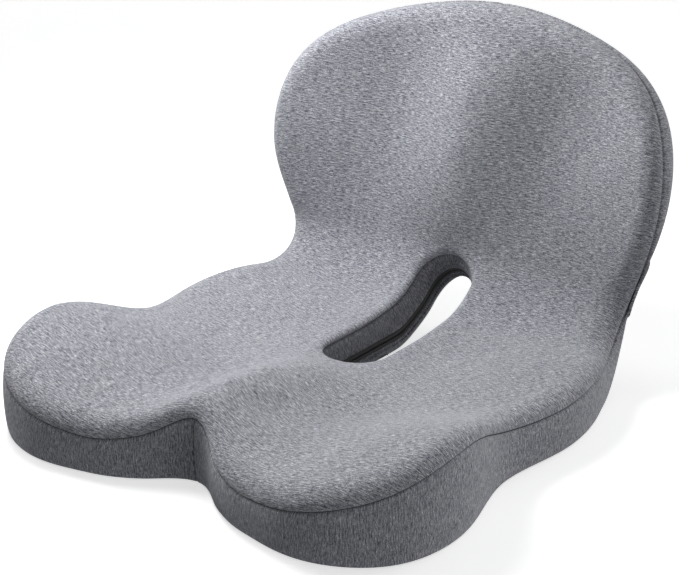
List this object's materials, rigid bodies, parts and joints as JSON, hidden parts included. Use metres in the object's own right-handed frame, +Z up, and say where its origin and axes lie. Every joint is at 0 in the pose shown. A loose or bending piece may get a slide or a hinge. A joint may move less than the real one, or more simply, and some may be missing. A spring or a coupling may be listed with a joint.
{
  "type": "seat cushion",
  "caption": "One-piece foam seat cushion with a low contoured backrest, scalloped thigh lobes, a through-slot at the tailbone and a zipped knit cover.",
  "frame": {"origin": "middle of the overall footprint, on the surface the cushion lies on", "axes": "+X to the sitter's right, +Y to the rear (the backrest is at +Y), +Z up"},
  "size_m": [0.4202, 0.4852, 0.2979],
  "materials": {
    "foam": "matte",
    "knit": "matte",
    "base_cloth": "matte",
    "tape": "matte",
    "nylon": "satin",
    "zip_metal": "satin",
    "label": "matte"
  },
  "bodies": {
    "cushion": {"foam_core": "foam", "face_panel": "knit", "side_band_right": "knit", "side_band_left": "knit", "base_panel": "base_cloth", "heel_panel": "knit", "back_panel": "knit", "slot_liner_upper": "knit", "slot_liner_lower": "knit", "slot_zip_tape_lower": "tape", "slot_zip_tape_upper": "tape", "slot_zip_coil_lower": "nylon", "slot_zip_coil_upper": "nylon", "slot_zip_top_stop": "zip_metal", "slot_zip_bottom_stop": "zip_metal", "back_zip_tape_lower": "tape", "back_zip_coil_lower": "nylon", "back_zip_tape_upper": "tape", "back_zip_coil_upper": "nylon", "back_zip_top_stop": "zip_metal", "back_zip_bottom_stop": "zip_metal", "care_label": "label"},
    "slot_slider": {"slot_zip_slider": "zip_metal"},
    "slot_puller": {"slot_zip_puller": "zip_metal"},
    "back_slider": {"back_zip_slider": "zip_metal"},
    "back_puller": {"back_zip_puller": "zip_metal"}
  },
  "joints": [
    {"name": "slot_zip_slide", "type": "slide", "parent": "cushion", "child": "slot_slider", "axis": [0, 1, 0], "range_m": [0, 0.066]},
    {"name": "slot_puller_hinge", "type": "hinge", "parent": "slot_slider", "child": "slot_puller", "pos_m": [0.01955, 0.02994, 0.014], "axis": [0, 0, 1], "range_deg": [0, 180]},
    {"name": "back_zip_slide", "type": "slide", "parent": "cushion", "child": "back_slider", "axis": [-1, 0, 0], "range_m": [0, 0.22]},
    {"name": "back_puller_hinge", "type": "hinge", "parent": "back_slider", "child": "back_puller", "pos_m": [0.1115, 0.20172, 0.0903], "axis": [0, -0.2924, -0.9563], "range_deg": [0, 180]}
  ]
}
